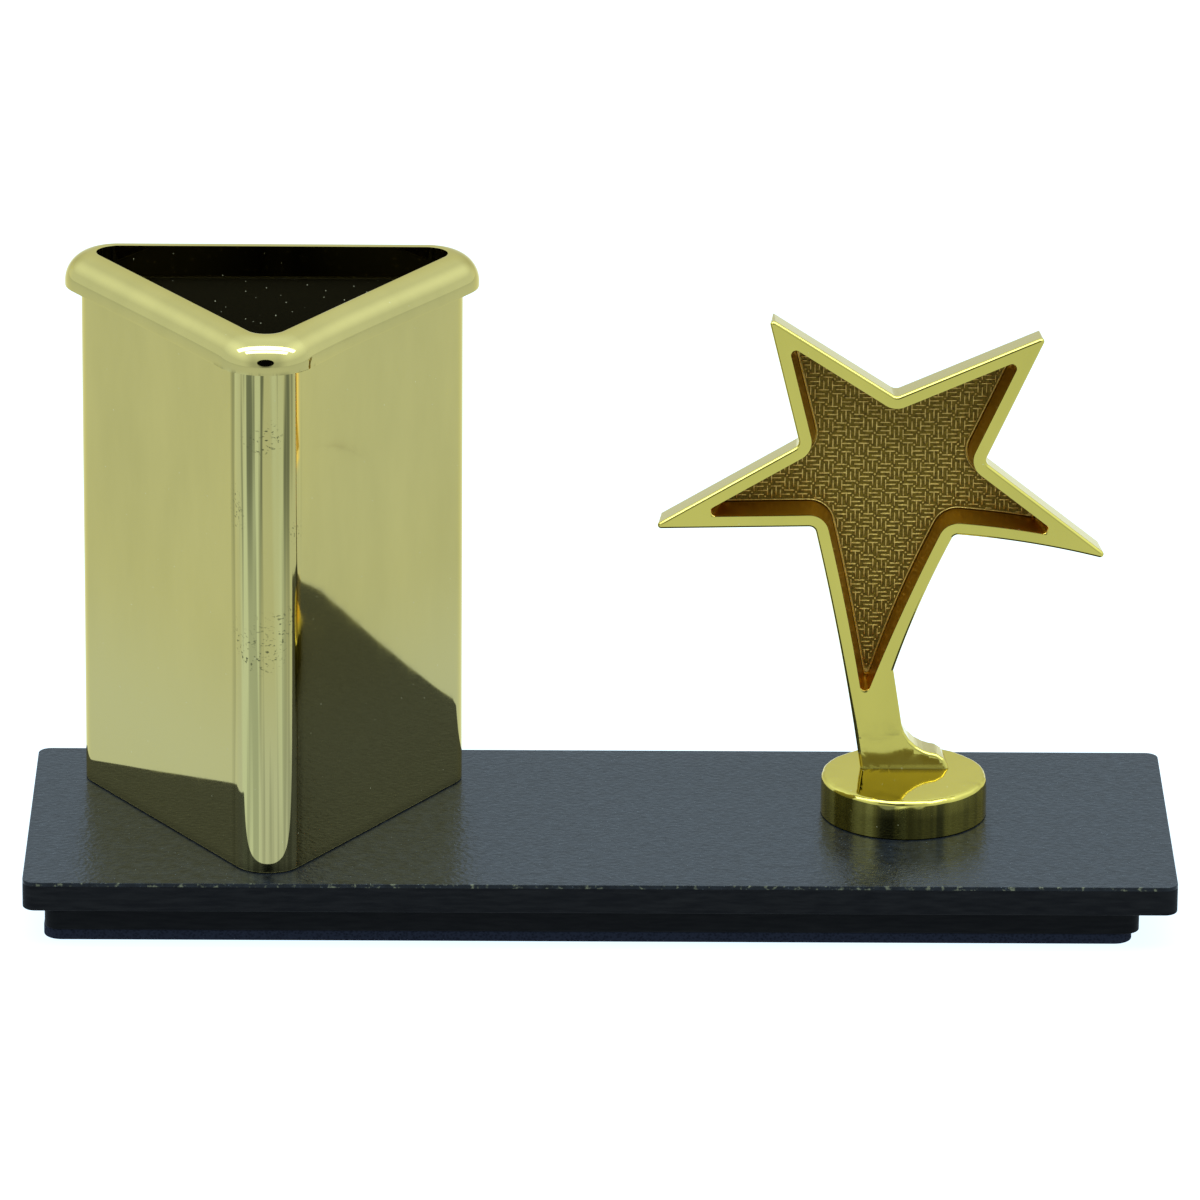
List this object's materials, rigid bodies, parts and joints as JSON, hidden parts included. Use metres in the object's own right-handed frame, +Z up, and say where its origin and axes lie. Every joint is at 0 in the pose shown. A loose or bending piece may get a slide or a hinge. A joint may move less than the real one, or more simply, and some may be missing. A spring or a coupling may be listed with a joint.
{
  "type": "star trophy",
  "caption": "Desk award with a gold star figure on a round pedestal and a three-sided gold pen cup, on a two-step black base.",
  "frame": {"origin": "on the standing surface, under the middle of the deck", "axes": "+X to the right along the base, +Y to the back, +Z up; the star faces -Y"},
  "size_m": [0.2286, 0.0762, 0.1257],
  "materials": {
    "pad_foam": "matt black foam sheet",
    "black_board": "black painted fibreboard",
    "grained_laminate": "fine leather-grain laminate, satin",
    "gold_plastic": "mirror gold metallising under clear lacquer",
    "gold_metal": "mirror gold plating",
    "inlay_metal": "dark antique brass with raised weave",
    "screw_steel": "zinc plated"
  },
  "bodies": {
    "root": {"base_pad": "pad_foam", "plinth_board": "black_board", "deck_board": "black_board", "deck_laminate": "grained_laminate", "cup_shell": "gold_plastic", "cup_screws": "screw_steel", "cup_washers": "screw_steel", "plinth_screws": "screw_steel", "star_body": "gold_metal", "star_inlay": "inlay_metal", "star_pedestal": "gold_metal", "star_screw": "screw_steel", "star_washer": "screw_steel"}
  },
  "joints": []
}
